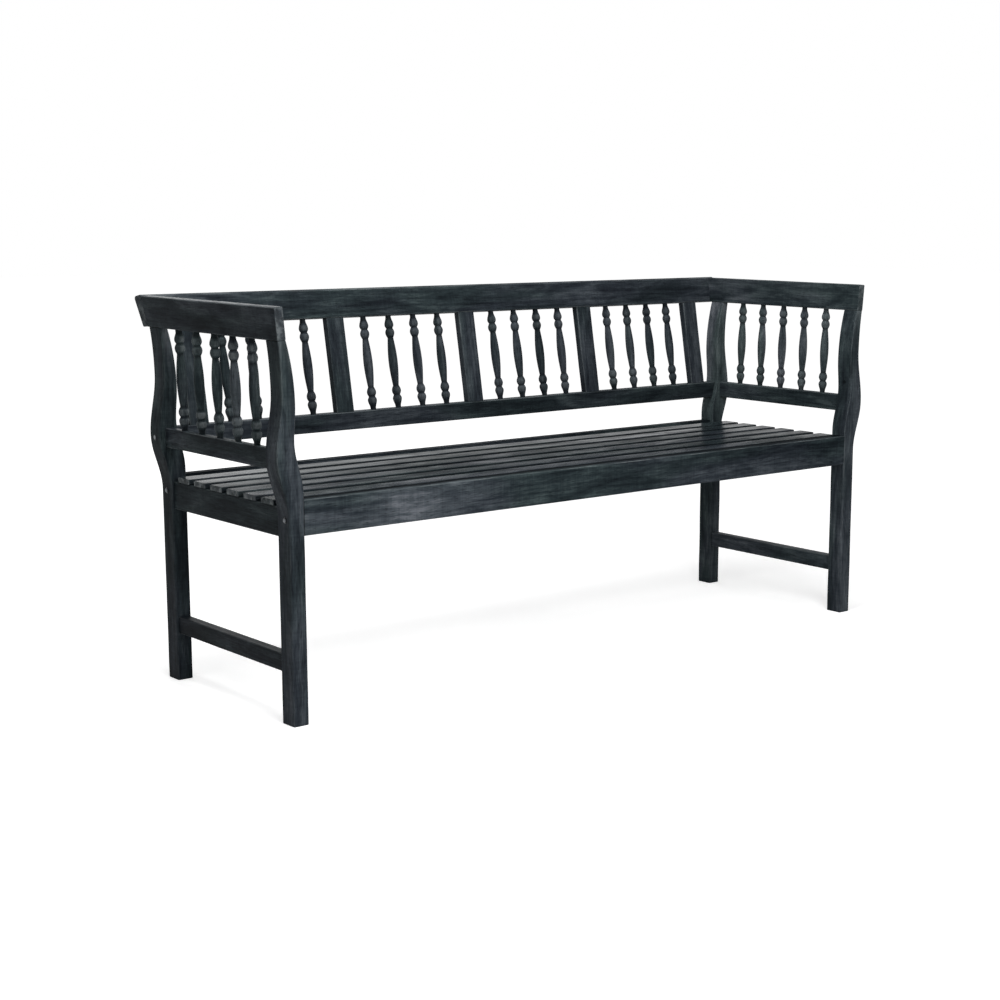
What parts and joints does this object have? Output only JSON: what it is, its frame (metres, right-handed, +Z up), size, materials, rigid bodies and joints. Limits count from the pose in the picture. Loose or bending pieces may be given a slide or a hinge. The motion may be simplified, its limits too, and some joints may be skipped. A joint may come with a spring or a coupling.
{
  "type": "deacons bench",
  "caption": "Long wooden bench with a slatted seat, S-curved posts, turned spindles in its arms and in its leaning back, and a thick crest rail.",
  "frame": {"origin": "on the floor, under the middle of the bench's outer box", "axes": "+X along the bench, with the left end at -X seen from the front; the front faces -Y and the back leans towards +Y; +Z up"},
  "size_m": [1.6484, 0.5502, 0.8053],
  "materials": {
    "stained_wood": "dark slate stain with a thin clear coat, streaky grain, edges worn paler",
    "worn_wood": "the same stain, rubbed paler where people sit, satin",
    "dull_steel": "darkened, dull"
  },
  "bodies": {
    "root": {"front_post_left": "stained_wood", "front_post_right": "stained_wood", "rear_post_left": "stained_wood", "rear_post_right": "stained_wood", "front_seat_rail": "stained_wood", "rear_seat_rail": "stained_wood", "side_seat_rail_left": "stained_wood", "side_seat_rail_right": "stained_wood", "centre_seat_bearer": "stained_wood", "side_stretcher_left": "stained_wood", "side_stretcher_right": "stained_wood", "seat_slat_1": "worn_wood", "seat_slat_2": "worn_wood", "seat_slat_3": "worn_wood", "seat_slat_4": "worn_wood", "seat_slat_5": "worn_wood", "seat_slat_6": "worn_wood", "arm_top_rail_left": "stained_wood", "arm_top_rail_right": "stained_wood", "arm_lower_rail_left": "stained_wood", "arm_lower_rail_right": "stained_wood", "arm_spindle_left_1": "stained_wood", "arm_spindle_left_2": "stained_wood", "arm_spindle_left_3": "stained_wood", "arm_spindle_left_4": "stained_wood", "arm_spindle_left_5": "stained_wood", "arm_spindle_right_1": "stained_wood", "arm_spindle_right_2": "stained_wood", "arm_spindle_right_3": "stained_wood", "arm_spindle_right_4": "stained_wood", "arm_spindle_right_5": "stained_wood", "back_top_rail": "stained_wood", "back_lower_rail": "stained_wood", "back_stile_1": "stained_wood", "back_stile_2": "stained_wood", "back_stile_3": "stained_wood", "back_stile_4": "stained_wood", "back_stile_5": "stained_wood", "back_spindle_1": "stained_wood", "back_spindle_2": "stained_wood", "back_spindle_3": "stained_wood", "back_spindle_4": "stained_wood", "back_spindle_5": "stained_wood", "back_spindle_6": "stained_wood", "back_spindle_7": "stained_wood", "back_spindle_8": "stained_wood", "back_spindle_9": "stained_wood", "back_spindle_10": "stained_wood", "back_spindle_11": "stained_wood", "back_spindle_12": "stained_wood", "back_spindle_13": "stained_wood", "back_spindle_14": "stained_wood", "back_spindle_15": "stained_wood", "back_spindle_16": "stained_wood", "front_rail_bolt_left": "dull_steel", "front_rail_bolt_right": "dull_steel", "rear_rail_bolt_left": "dull_steel", "rear_rail_bolt_right": "dull_steel", "back_rail_bolt_left": "dull_steel", "back_rail_bolt_right": "dull_steel"}
  },
  "joints": []
}
